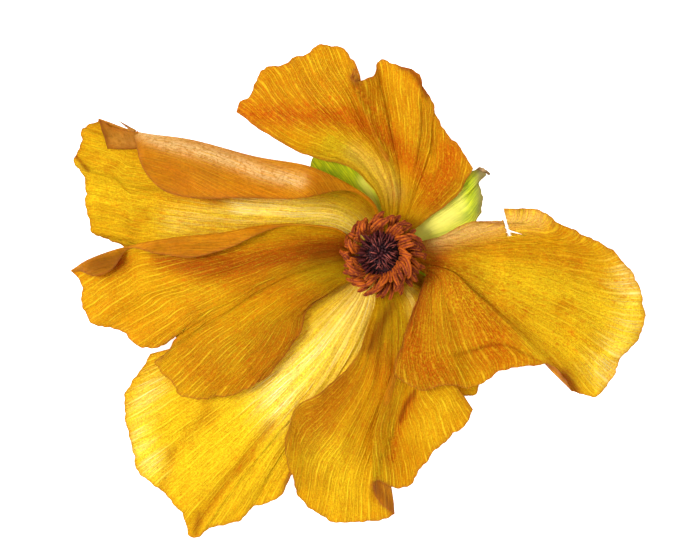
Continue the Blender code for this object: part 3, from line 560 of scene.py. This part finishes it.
def grow_sheet(name, shape, thickness, grid, seed, finishes):
    """A thin closed petal with its texture directions, its painted pigments and its painted shade and
    highlights.
    """
    sheet = Sheet(shape, *grid, seed)
    x, y, z, u, v = sheet.points()
    opened = np.zeros((x.shape[0] - 1, x.shape[1] - 1), bool)
    edge = edge_distance(sheet, x, y)
    for cut in shape.get("cuts", ()):
        x, y, parted = slit(cut, x, y)
        opened |= parted
    grown = np.clip(u * 3, 0, 1)
    span = np.linalg.norm(np.diff(sheet.tip[:, :2], axis=0), axis=1).sum()
    pleats = PLEAT_DEPTH * np.sin(v * span / PLEAT_PITCH * math.pi + 1.5 * ripples(x, y, 16, seed))
    ribs = RIB_DEPTH * np.sin(v * span / RIB_PITCH * math.pi + 1.2 * ripples(x, y, 9, seed + 5))
    crumple = 0.12 * ripples(x, y, 7, seed + 1) + 0.05 * ripples(x, y, 3.0, seed + 2)
    wave = 0.26 + 0.26 * ripples(x, y, 4.2, seed + 3)
    frill = np.exp(-edge / 1.5) * wave * np.clip(u * 2 - 0.6, 0, 1)
    z = z + grown * (pleats + ribs + crumple) + frill
    for line, depth, width in shape.get("creases", ()):
        z = z + depth * np.exp(-(locate(drawn(line), x, y)[0] / width) ** 2)
    for line, height, reach in shape.get("steps", ()):
        distance, side, station = locate(drawn(line), x, y)
        z = z + height * np.exp(-distance / reach) * (side > 0) * (1 - station)
    z = np.maximum(z, thickness / 2 + 0.03)

    points = np.stack([x, y, z], axis=2)
    thin = thickness / 2 * (0.45 + 0.55 * np.clip(edge / 1.2, 0, 1))[..., None] * normals_of(points)
    count = x.size
    vertices = np.concatenate([(points + thin).reshape(-1, 3), (points - thin).reshape(-1, 3)])

    index = np.arange(count).reshape(x.shape)
    corners = [index[:-1, :-1], index[1:, :-1], index[1:, 1:], index[:-1, 1:]]
    upper = np.stack([corner[~opened] for corner in corners], 1)
    lower = upper[:, ::-1] + count
    start = upper.ravel()
    end = np.roll(upper, -1, axis=1).ravel()
    free = ~np.isin(start * count + end, end * count + start)
    rim = np.stack([end[free], start[free], start[free] + count, end[free] + count], 1)
    faces = np.concatenate([upper, lower, rim])

    used, faces = np.unique(faces, return_inverse=True)
    faces = faces.reshape(-1, 4)
    masks = {paint_coat: np.zeros(x.shape) for paint_coat in PIGMENTS_AND_SHADING}
    for paint_coat, brushings in shape.get("strokes", {}).items():
        for line, width, strength in brushings:
            stroke = strength * np.exp(-(locate(drawn(line), x, y)[0] / width) ** 2)
            masks[paint_coat] = np.maximum(masks[paint_coat], stroke)
    masks["margin"] = np.exp(-edge / 0.26) * np.clip(u * 4 - 0.6, 0, 1)
    masks = {key: values.ravel()[used % count] for key, values in masks.items()}
    piece = solid(name, vertices[used], faces.tolist(), finishes, masks)
    slots = np.repeat([0, 1, 0], [len(upper), len(lower), len(rim)])
    piece.data.polygons.foreach_set("material_index", slots)
    layer = piece.data.uv_layers.new(name="growth")
    loops = used[faces.ravel()] % count
    layer.data.foreach_set("uv", np.stack([v.ravel()[loops], u.ravel()[loops]], 1).ravel())
    return piece


# Finishes.


def srgb(red, green, blue):
    """A colour as the eye names it, turned into the linear values that shaders use."""
    linear = [c / 12.92 if c <= 0.04045 else ((c + 0.055) / 1.055) ** 2.4 for c in (red, green, blue)]
    return (*linear, 1.0)


class Value:
    """A number that varies over a surface, and takes part in Python arithmetic."""

    def __init__(self, finish, socket):
        self.finish = finish
        self.socket = socket

    def maths(self, operation, first, second):
        return self.finish.node("ShaderNodeMath", {"operation": operation}, {0: first, 1: second})

    def __add__(self, other):
        return self.maths("ADD", self, other)

    def __radd__(self, other):
        return self.maths("ADD", other, self)

    def __sub__(self, other):
        return self.maths("SUBTRACT", self, other)

    def __rsub__(self, other):
        return self.maths("SUBTRACT", other, self)

    def __mul__(self, other):
        return self.maths("MULTIPLY", self, other)

    def __rmul__(self, other):
        return self.maths("MULTIPLY", other, self)

    def greater(self, other):
        return self.maths("MAXIMUM", self, other)

    def to_nearest(self, pitch):
        """Distance from the nearest multiple of a pitch."""
        return self.maths("PINGPONG", self, pitch / 2)


class Finish:
    """One material, built from its nodes."""

    def __init__(self, name, **constants):
        self.material = bpy.data.materials.new(name)
        self.material.use_nodes = True
        self.tree = self.material.node_tree
        self.shader = self.tree.nodes["Principled BSDF"]
        self.output = self.tree.nodes["Material Output"]
        for socket, value in constants.items():
            self.shader.inputs[socket.replace("_", " ")].default_value = value

    def node(self, kind, settings=None, inputs=None, output=0):
        made = self.tree.nodes.new(kind)
        for key, value in (settings or {}).items():
            setattr(made, key, value)
        for key, value in (inputs or {}).items():
            self.feed(made.inputs[key], value)
        return Value(self, made.outputs[output])

    def feed(self, socket, value):
        if isinstance(value, Value):
            self.tree.links.new(value.socket, socket)
        else:
            socket.default_value = value

    def attribute(self, name):
        return self.node("ShaderNodeAttribute", {"attribute_name": name}, output="Fac")

    def place(self):
        return self.node("ShaderNodeTexCoord", output="Object")

    def growth(self):
        """Position across and along the petal, each from 0 to 1 between its sides and ends."""
        place = self.node("ShaderNodeUVMap", {"uv_map": "growth"})
        across = self.node("ShaderNodeSeparateXYZ", inputs={0: place})
        return across, Value(self, across.socket.node.outputs[1])

    def vector(self, x=0.0, y=0.0, z=0.0):
        return self.node("ShaderNodeCombineXYZ", inputs={0: x, 1: y, 2: z})

    def noise(self, place, scale, detail=2.0, roughness=0.5):
        return self.node("ShaderNodeTexNoise", {"noise_dimensions": "3D"},
                         {"Vector": place, "Scale": scale, "Detail": detail, "Roughness": roughness})

    def soft_step(self, value, low, high):
        return self.node("ShaderNodeMapRange", {"interpolation_type": "SMOOTHSTEP"},
                         {"Value": value, "From Min": low, "From Max": high})

    def mix(self, share, first, second):
        return self.node("ShaderNodeMix", {"data_type": "RGBA"}, {0: share, 6: first, 7: second}, output=2)

    def brushed(self, colour, paint_coats):
        """Lay each brushed coat over a colour in turn. The coats are pigments and also painted shade and
        painted highlights.
        """
        for share, tint in paint_coats:
            colour = self.mix(share, colour, srgb(*tint))
        return colour

    def bump(self, height, distance, strength):
        return self.node("ShaderNodeBump", {}, {"Height": height, "Distance": distance, "Strength": strength})

    def set(self, **links):
        for socket, value in links.items():
            self.feed(self.shader.inputs[socket.replace("_", " ")], value)

    def glow_through(self, light, deep, depth, share):
        """Let light that falls on the far side come through, deeper where the petal is darker."""
        lit = self.node("ShaderNodeBsdfTranslucent", {}, {"Color": light})
        dim = self.node("ShaderNodeBsdfTranslucent", {}, {"Color": deep})
        through = self.node("ShaderNodeMixShader", {}, {0: depth, 1: lit, 2: dim})
        surface = Value(self, self.shader.outputs[0])
        whole = self.node("ShaderNodeMixShader", {}, {0: share, 1: surface, 2: through})
        self.feed(self.output.inputs["Surface"], whole)


# How many veins cross a petal, and how far along it they begin.
VEINS = ((44.0, -0.3), (88.0, 0.04), (176.0, 0.32))


def vein_lines(finish, across, along):
    """Fine light veins from the claw. Between them new ones start, so they stay equally close."""
    wander = finish.noise(finish.vector(across * 3.0, along * 1.8, 0.5), 1.0, 1.0, 0.5) * 0.12
    place = across + wander
    lines = 0.0
    for number, (count, begins) in enumerate(VEINS):
        thin = finish.soft_step((place * count).to_nearest(1.0), 0.21, 0.03)
        gaps = finish.vector(across * count * 1.1, along * 9.0, 7.0 + number)
        broken = finish.soft_step(finish.noise(gaps, 1.0, 2.0, 0.6), 0.42, 0.62)
        shown = finish.soft_step(along, begins, begins + 0.22) * (0.15 + broken)
        lines = (thin * shown).greater(lines)
    return lines


def petal_front(name):
    finish = Finish(name, Specular_IOR_Level=0.05)
    across, along = finish.growth()
    place = finish.place()
    veins = vein_lines(finish, across, along)
    mottle = finish.noise(place, 150.0, 3.0, 0.6)
    grain = finish.noise(place, 3400.0, 2.0, 0.7)
    streaks = finish.noise(finish.vector(across * 260.0, along * 60.0, 2.0), 1.0, 3.0, 0.65)
    dashes = finish.noise(finish.vector(across * 120.0, along * 40.0, 4.0), 1.0, 3.0, 0.7)

    dashed = finish.soft_step(dashes, 0.42, 0.56)
    ember = finish.attribute("ember") * (0.50 + dashed * 0.45)
    russet = finish.attribute("russet")
    amber = finish.attribute("amber") * (0.60 + dashed * 0.3)
    brown = finish.attribute("brown")
    olive = finish.attribute("olive")
    lines = finish.noise(finish.vector(across * 38.0, along * 1.6, 9.0), 1.0, 2.0, 0.6)
    cream = finish.attribute("cream") * (0.30 + finish.soft_step(lines, 0.43, 0.56) * 0.70)
    sun = finish.attribute("sun") * finish.soft_step(mottle, 0.22, 0.46)
    specks = finish.noise(finish.vector(across * 75.0, along * 32.0, 11.0), 1.0, 4.0, 0.65)
    fleck = finish.attribute("fleck") * finish.soft_step(specks, 0.57, 0.62)
    colour = finish.mix(finish.soft_step(mottle, 0.36, 0.62), srgb(0.75, 0.52, 0.0), srgb(0.83, 0.63, 0.0))
    # Amber, olive, ember, russet and brown carry painted shade as well as the petal's own tones. Sun and
    # peach carry painted highlights in places.
    colour = finish.brushed(colour, [
        (sun, (0.94, 0.84, 0.10)), (amber, (0.68, 0.41, 0.0)), (olive, (0.70, 0.56, 0.0)),
        (ember, (0.74, 0.30, 0.0)), (russet, (0.60, 0.18, 0.0)),
        (cream, (1.0, 0.86, 0.38)), (finish.attribute("peach") * 0.8, (0.95, 0.80, 0.50)),
        (finish.soft_step(streaks, 0.46, 0.64) * 0.45, (0.80, 0.49, 0.0)),
        (finish.soft_step(grain, 0.48, 0.62) * (0.48 - cream * 0.3), (0.72, 0.42, 0.0)),
        (finish.soft_step(grain, 0.47, 0.34) * (0.22 + sun * 0.4), (1.0, 0.93, 0.16)),
        (veins * (0.48 - ember * 0.40 - amber * 0.12), (1.0, 0.91, 0.17)),
        (veins * cream * 0.8, (1.0, 0.97, 0.74)), (fleck * 0.7, (0.78, 0.36, 0.02)),
        (brown * 0.9, (0.50, 0.24, 0.01)), (finish.attribute("margin") * 0.8, (0.62, 0.36, 0.12))])

    relief = veins * 0.7 + grain * 0.8 + streaks * 0.5
    finish.set(Base_Color=colour, Roughness=0.45 + grain * 0.2, Normal=finish.bump(relief, 0.00020, 0.9))
    # The painted shade in these masks also deepens the light that comes through.
    depth = 0.22 + amber * 0.5 + ember * 0.75 + russet + brown + olive * 0.2
    depth = depth + finish.soft_step(streaks, 0.44, 0.64) * 0.2 + finish.soft_step(grain, 0.48, 0.66) * 0.2
    finish.glow_through(srgb(0.90, 0.79, 0.0), srgb(0.74, 0.33, 0.0),
                        depth - sun * 0.35 - cream * 0.45 - veins * 0.4,
                        0.42 - finish.attribute("cream") * 0.32)
    return finish.material


def petal_back(name):
    finish = Finish(name, Specular_IOR_Level=0.08)
    across, along = finish.growth()
    place = finish.place()
    veins = vein_lines(finish, across, along)
    mottle = finish.noise(place, 120.0, 3.0, 0.6)
    grain = finish.noise(place, 2200.0, 2.0, 0.6)
    streaks = finish.noise(finish.vector(across * 150.0, along * 12.0, 2.0), 1.0, 3.0, 0.6)
    peach = finish.attribute("peach") * (0.35 + finish.soft_step(streaks, 0.38, 0.60))
    brown = finish.attribute("brown")
    colour = finish.mix(finish.soft_step(mottle, 0.35, 0.65), srgb(0.74, 0.45, 0.0), srgb(0.82, 0.54, 0.01))
    # Peach is painted highlight along the crest of the roll, broken by pale streaks. Brown is painted shade
    # together with the brown of turned-back tissue.
    colour = finish.brushed(colour, [
        (finish.attribute("ember") * 0.4, (0.80, 0.42, 0.0)), (peach, (1.0, 0.87, 0.58)),
        (finish.soft_step(streaks, 0.48, 0.62) * 0.55, (0.66, 0.38, 0.0)),
        (finish.soft_step(grain, 0.48, 0.62) * 0.55, (0.62, 0.34, 0.0)),
        (veins * 0.4, (0.98, 0.76, 0.16)), (brown * 0.8, (0.56, 0.32, 0.04)),
        (finish.attribute("margin") * 0.7, (0.60, 0.34, 0.14))])
    finish.set(Base_Color=colour, Roughness=0.45 + grain * 0.2,
               Normal=finish.bump(veins * 0.7 + grain * 0.5 + streaks * 0.4, 0.0002, 0.8))
    # The painted shade in brown also deepens the light that comes through.
    finish.glow_through(srgb(0.98, 0.74, 0.08), srgb(0.84, 0.46, 0.0), streaks * 0.7 + brown, 0.40)
    return finish.material


def sepal_finish(name):
    finish = Finish(name, Specular_IOR_Level=0.2)
    across, along = finish.growth()
    place = finish.place()
    streaks = finish.noise(finish.vector(across * 44.0, along * 3.5, 0.0), 1.0, 3.0, 0.6)
    mottle = finish.noise(place, 420.0, 3.0, 0.6)
    colour = finish.mix(finish.soft_step(streaks, 0.36, 0.64), srgb(0.54, 0.62, 0.0), srgb(0.84, 0.86, 0.04))
    # The brown coat is the grey-brown outer surface with painted shade.
    colour = finish.brushed(colour, [
        (finish.soft_step(mottle, 0.45, 0.70) * 0.45, (0.45, 0.60, 0.02)),
        (finish.attribute("cream") * (0.6 + streaks * 0.6), (0.98, 0.93, 0.44)),
        (finish.attribute("brown"), (0.50, 0.42, 0.30)),
        (finish.attribute("margin") * 0.6, (0.56, 0.46, 0.22))])
    finish.set(Base_Color=colour, Roughness=0.5 + mottle * 0.2, Normal=finish.bump(streaks, 0.0003, 0.7))
    finish.glow_through(srgb(0.86, 0.90, 0.16), srgb(0.52, 0.62, 0.02), mottle, 0.32)
    return finish.material


def plain_tissue(name, low, high, scale, roughness, relief=0.00015):
    """Soft plant tissue mottled between two colours."""
    finish = Finish(name, Specular_IOR_Level=0.2)
    place = finish.place()
    coarse = finish.noise(place, scale, 4.0, 0.6)
    fine = finish.noise(place, scale * 6, 2.0, 0.6)
    colour = finish.mix(finish.soft_step(coarse, 0.32, 0.70), srgb(*low), srgb(*high))
    finish.set(Base_Color=colour, Roughness=roughness - 0.1 + fine * 0.2,
               Normal=finish.bump(coarse * 0.5 + fine * 0.5, relief, 0.7))
    return finish


def anther_finish():
    finish = Finish("anther_pollen", Specular_IOR_Level=0.15)
    place = finish.place()
    grain = finish.noise(place, 3200.0, 3.0, 0.7)
    tone = finish.noise(place, 520.0, 2.0, 0.5)
    colour = finish.mix(finish.soft_step(tone, 0.36, 0.64), srgb(0.38, 0.13, 0.01), srgb(0.62, 0.28, 0.02))
    colour = finish.brushed(colour, [
        (finish.soft_step(grain, 0.45, 0.66) * 0.5, (0.80, 0.42, 0.06)),
        (finish.attribute("groove"), (0.34, 0.03, 0.05)),
        (finish.attribute("thread"), (0.46, 0.20, 0.20))])
    finish.set(Base_Color=colour, Roughness=0.6 + grain * 0.25, Normal=finish.bump(grain, 0.00008, 0.8))
    return finish.material


# Centre.


def tube(path, radii, sides, section=None):
    """Rings of points round a path. A section scales the radius at each angle."""
    path = np.array(path, float)
    along = np.gradient(path, axis=0)
    along /= np.linalg.norm(along, axis=1)[:, None]
    rings = []
    for i, point in enumerate(path):
        tangent = np.array([-point[1], point[0], 0.0])
        side = tangent - along[i] * (tangent @ along[i])
        side /= max(np.linalg.norm(side), 1e-9)
        top = np.cross(along[i], side)
        angles = np.arange(sides) * math.tau / sides
        scale = np.ones(sides) if section is None else section(angles, i)
        rings.append(point + radii[i] * scale[:, None]
                     * (np.cos(angles)[:, None] * side + np.sin(angles)[:, None] * top))
    return np.array(rings)


def tube_faces(rings, sides, start=0):
    faces = []
    for i in range(rings - 1):
        for k in range(sides):
            after = (k + 1) % sides
            faces.append((start + i * sides + k, start + i * sides + after,
                          start + (i + 1) * sides + after, start + (i + 1) * sides + k))
    faces.append(tuple(start + k for k in reversed(range(sides))))
    faces.append(tuple(start + (rings - 1) * sides + k for k in range(sides)))
    return faces


STAMEN_SIDES = 14
THREAD_RINGS = 9
ANTHER_RINGS = 13


def stamen(name, angle, stations, hook, size, finish):
    """A thin filament and a two-lobed anther with a dark groove along its upper face."""
    read = np.concatenate([np.linspace(0, 0.60, THREAD_RINGS), np.linspace(0.64, 1, ANTHER_RINGS)])
    plan = curve(stations, read, [0, 0.35, 0.62, 0.85, 1])
    count = len(plan)
    turn = angle + hook * np.clip(np.linspace(-1.2, 1, count), 0, 1) ** 1.4
    path = np.stack([plan[:, 0] * np.cos(turn), plan[:, 0] * np.sin(turn), plan[:, 1]], 1)
    swell = np.clip((np.arange(count) - THREAD_RINGS + 1) / ANTHER_RINGS, 0, 1)
    body = np.sqrt(np.clip(1 - (2 * swell - 1) ** 2, 0, 1))
    radii = np.where(np.arange(count) < THREAD_RINGS, 0.15, 0.15 + size * body**0.7)
    radii[-1] = 0.12

    def lobes(angles, i):
        if i < THREAD_RINGS:
            return np.ones(len(angles))
        groove = np.exp(-((np.sin((angles - math.pi / 2) / 2)) / 0.22) ** 2)
        return 1 - 0.50 * groove + 0.14 * np.cos(2 * angles)

    rings = tube(path, radii, STAMEN_SIDES, lobes)
    angles = np.arange(STAMEN_SIDES) * math.tau / STAMEN_SIDES
    groove = np.exp(-((np.sin((angles - math.pi / 2) / 2)) / 0.20) ** 2)
    on_anther = (np.arange(count) > THREAD_RINGS).astype(float)
    thread = 1 - np.clip((np.arange(count) - THREAD_RINGS + 2) / 3.0, 0, 1)
    return solid(name, rings, tube_faces(count, STAMEN_SIDES), (finish,),
                 {"groove": np.outer(on_anther, groove).ravel(), "thread": np.repeat(thread, STAMEN_SIDES)})


# Each whorl's stamen count, the number of its first framed stamen, the foot's radius, then the
# radius and height of the shoulder and of the anther's start, middle and end.
STAMEN_WHORLS = [
    (24, 1, 3.55, (4.3, 12.2), (5.1, 13.2), (6.4, 13.9), (7.5, 13.3)),
    (19, 25, 2.85, (3.4, 13.2), (3.9, 15.0), (4.9, 16.4), (6.0, 16.6)),
    (30, None, 3.3, (4.0, 12.6), (4.7, 14.1), (5.9, 15.0), (7.0, 14.6)),
    (24, None, 2.9, (3.3, 12.6), (3.5, 14.0), (4.2, 15.6), (5.2, 16.3)),
    (16, None, 3.6, (4.5, 11.6), (5.2, 12.2), (6.3, 12.5), (7.3, 11.7)),
]
SPREAD_SIDE = math.radians(155)


def make_stamens():
    chance = random.Random(5)
    finish = anther_finish()
    foot_height = RECEPTACLE_TOP + 0.25
    for count, first, foot, *stations in STAMEN_WHORLS:
        for k in range(count):
            offset = 0 if first else 0.5
            angle = math.tau * (k + offset + 0.30 * chance.uniform(-1, 1)) / count
            spread = 0.5 + 0.5 * math.cos(angle - SPREAD_SIDE)
            reach = chance.uniform(-0.45, 0.15)
            lift = chance.uniform(-0.5, 0.3) - 0.5 * spread
            hook = chance.gauss(-0.20, 0.13)
            path = [(foot, foot_height)]
            for number, (radius, height) in enumerate(stations):
                outward = (1.3 * spread - 0.5) * (number > 0) * (7.5 - radius) / 2.6
                path.append((radius + min(outward, 0.9) + reach * number / 3, height + lift * number / 3))
            number = first + k if first else k
            name = f"stamen_{number:02d}_fine" if first else f"stamen_extra_{int(foot * 10)}_{k:02d}"
            piece = stamen(name, angle, path, hook, chance.uniform(0.20, 0.26), finish)
            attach(piece, "root")
            if first:
                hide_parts(f"stamen_{number:02d}")


def make_carpels():
    """A dark dome of small carpels, each drawn out into a thin hooked style."""
    chance = random.Random(8)
    base = RECEPTACLE_TOP + 0.3
    dark = plain_tissue("dark_carpels", (0.10, 0.03, 0.05), (0.26, 0.09, 0.11), 900.0, 0.5).material
    pink = plain_tissue("pink_styles", (0.34, 0.14, 0.13), (0.58, 0.28, 0.24), 700.0, 0.5).material
    vertices, faces = [], []
    styles, style_faces = [], []
    golden = math.pi * (3 - math.sqrt(5))
    count = 90
    for k in range(count):
        share = (k + 0.5) / count
        tilt = math.acos(1 - share * 0.98)
        turn = k * golden
        out = np.array([math.sin(tilt) * math.cos(turn), math.sin(tilt) * math.sin(turn), math.cos(tilt)])
        seat = np.array([-0.5, 0.5, base + 0.6]) + out * np.array([1.8, 1.8, 2.6])
        tip = seat + out * np.array([0.5, 0.5, 0.7])
        rings = tube([seat - out * 0.6, seat, seat + out * 0.35, tip], [0.30, 0.36, 0.30, 0.08], 8)
        faces += tube_faces(4, 8, len(vertices) * 8)
        vertices += list(rings)
        if chance.random() < 0.3:
            continue
        sway = chance.uniform(-0.7, 0.7)
        flat = np.array([out[0] * math.cos(sway) - out[1] * math.sin(sway),
                         out[0] * math.sin(sway) + out[1] * math.cos(sway), 0])
        flat = flat / max(np.linalg.norm(flat), 0.3) * chance.uniform(0.7, 1.3)
        path = [seat + out * 0.3, tip, tip + flat * 0.45 + np.array([0, 0, 0.16]),
                tip + flat * 0.85 + np.array([0, 0, 0.05]), tip + flat * 1.1 + np.array([0, 0, -0.2])]
        rings = tube(path, [0.12, 0.10, 0.095, 0.09, 0.05], 6)
        style_faces += tube_faces(5, 6, len(styles) * 6)
        styles += list(rings)
    head = solid("carpel_head_fine", vertices, faces, (dark,))
    tips = solid("carpel_styles", styles, style_faces, (pink,))
    for piece in (head, tips):
        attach(piece, "root")
    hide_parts("carpel_head")


def make_shreds():
    """The torn sliver on the turned tip, and the dried point of the upper right sepal."""
    dried = plain_tissue("dried_tissue", (0.42, 0.30, 0.16), (0.70, 0.56, 0.38),
                         900.0, 0.6, 0.0004).material
    brown = plain_tissue("torn_petal", (0.42, 0.24, 0.04), (0.64, 0.42, 0.10), 600.0, 0.5).material
    shreds = [
        ("petal_upper_left_shred", "petal", brown,
         [(-43, 21.6, 3.6), (-44.3, 22.4, 4), (-45.9, 23.5, 3.7)], [0.34, 0.24, 0.06]),
        ("sepal_dried_point", "sepal", dried,
         [(16, 14.2, 9.4), (16.7, 14.9, 9.8), (17.6, 14.6, 9.9), (18.4, 14.1, 9.6)],
         [0.42, 0.55, 0.38, 0.26]),
    ]
    count = sides = 12
    for name, slot, finish, points, radii in shreds:
        points = [(x, y, z + dome_height(np.array(x), np.array(y)) * (slot == "petal")) for x, y, z in points]
        read = np.linspace(0, 1, count)
        sizes = np.interp(read, np.linspace(0, 1, len(radii)), radii)
        crinkle = ripples(read * 9, read * 0, 2.0, 41)

        def section(angles, i):
            return 0.62 + 0.38 * np.cos(angles + crinkle[i]) ** 2 + 0.2 * crinkle[i] * np.sin(3 * angles)

        rings = tube(curve(points, read), sizes, sides, section)
        piece = solid(name, rings, tube_faces(count, sides), (finish,))
        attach(piece, "root")


# Setting.


SURFACE_REACH = 3.0
CAMERA_DISTANCE = 0.75
# The width of the view at the petals' level, for a flower of length 1.
VIEW_WIDTH = 1.203
# Each light's place, side and watts.
LIGHTS = {"key": ((-0.55, 0.10, 0.65), 0.30, 9.0), "fill": ((0.5, -0.5, 0.8), 0.6, 1.4)}


def make_setting():
    low, high = cad_box
    size = high - low
    surface = Finish("lit_surface", Roughness=0.9)
    place = surface.place()
    even = surface.noise(place, 6.0, 2.0, 0.5)
    tone = surface.mix(even, (0.985, 0.985, 0.985, 1), (1.0, 1.0, 1.0, 1))
    surface.set(Base_Color=(0.85, 0.85, 0.85, 1.0), Emission_Color=tone, Emission_Strength=0.98)
    mesh = bpy.data.meshes.new("surface")
    corners = [(-1, -1), (1, -1), (1, 1), (-1, 1)]
    mesh.from_pydata([(x * SURFACE_REACH, y * SURFACE_REACH, 0) for x, y in corners], [], [(0, 1, 2, 3)])
    mesh.materials.append(surface.material)
    floor = stand("surface", mesh)
    floor.location.z = low.z

    world = bpy.data.worlds.new("soft_room")
    world.use_nodes = True
    background = world.node_tree.nodes["Background"].inputs
    background["Color"].default_value = (1.0, 1.0, 1.0, 1)
    background["Strength"].default_value = 0.97
    bpy.context.scene.world = world

    for name, (place, side, watts) in LIGHTS.items():
        data = bpy.data.lights.new(name, "AREA")
        data.energy = watts
        data.size = side
        light = stand(name, data)
        light.location = place
        light.rotation_euler = (-Vector(place)).to_track_quat("-Z", "Y").to_euler()

    camera_data = bpy.data.cameras.new("overhead")
    camera = stand("overhead", camera_data)
    middle = (low + high) / 2
    camera.location = (middle.x - size.x * 0.0148, middle.y + size.y * 0.022,
                       low.z + 0.008 + CAMERA_DISTANCE)
    camera_data.sensor_width = 36.0
    camera_data.lens = camera_data.sensor_width * CAMERA_DISTANCE / (size.x * VIEW_WIDTH)
    camera_data.clip_end = 20.0
    bpy.context.scene.camera = camera
    bpy.context.scene.view_settings.view_transform = "Standard"


def dress_stem():
    """The green receptacle and stem stub, dark where the stamens and carpels stand."""
    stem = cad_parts["receptacle_and_stem"]
    tissue = plain_tissue("stem_tissue", (0.36, 0.48, 0.06), (0.58, 0.66, 0.16), 500.0, 0.5)
    place = tissue.place()
    height = Value(tissue, tissue.node("ShaderNodeSeparateXYZ", inputs={0: place}).socket.node.outputs[2])
    crown = tissue.soft_step(height, AXIS.z + (RECEPTACLE_TOP - 0.9) * MM,
                             AXIS.z + (RECEPTACLE_TOP - 0.2) * MM)
    green = Value(tissue, tissue.shader.inputs["Base Color"].links[0].from_socket)
    tissue.set(Base_Color=tissue.mix(crown, green, srgb(0.22, 0.07, 0.09)))
    stem.data.materials.clear()
    stem.data.materials.append(tissue.material)


def main():
    back = petal_back("petal_underside")
    front = petal_front("petal_face")
    green = sepal_finish("sepal_tissue")
    for number, (name, shape) in enumerate(PETALS.items()):
        petal = grow_sheet(name + "_fine", shape, PETAL_THICKNESS, PETAL_GRID, 20 + 7 * number,
                           (front, back))
        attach(petal, "root")
        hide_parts(name)
    for number, (name, shape) in enumerate(CURLS.items()):
        curl = grow_sheet(name, shape, PETAL_THICKNESS, CURL_GRID, 170 + 7 * number, (back, back))
        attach(curl, "root")
    for number, (name, shape) in enumerate(SEPALS.items()):
        sepal = grow_sheet(name + "_fine", shape, SEPAL_THICKNESS, SEPAL_GRID, 90 + 7 * number,
                           (green, green))
        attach(sepal, "root")
        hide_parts(name)
    make_stamens()
    make_carpels()
    make_shreds()
    dress_stem()
    make_setting()


main()
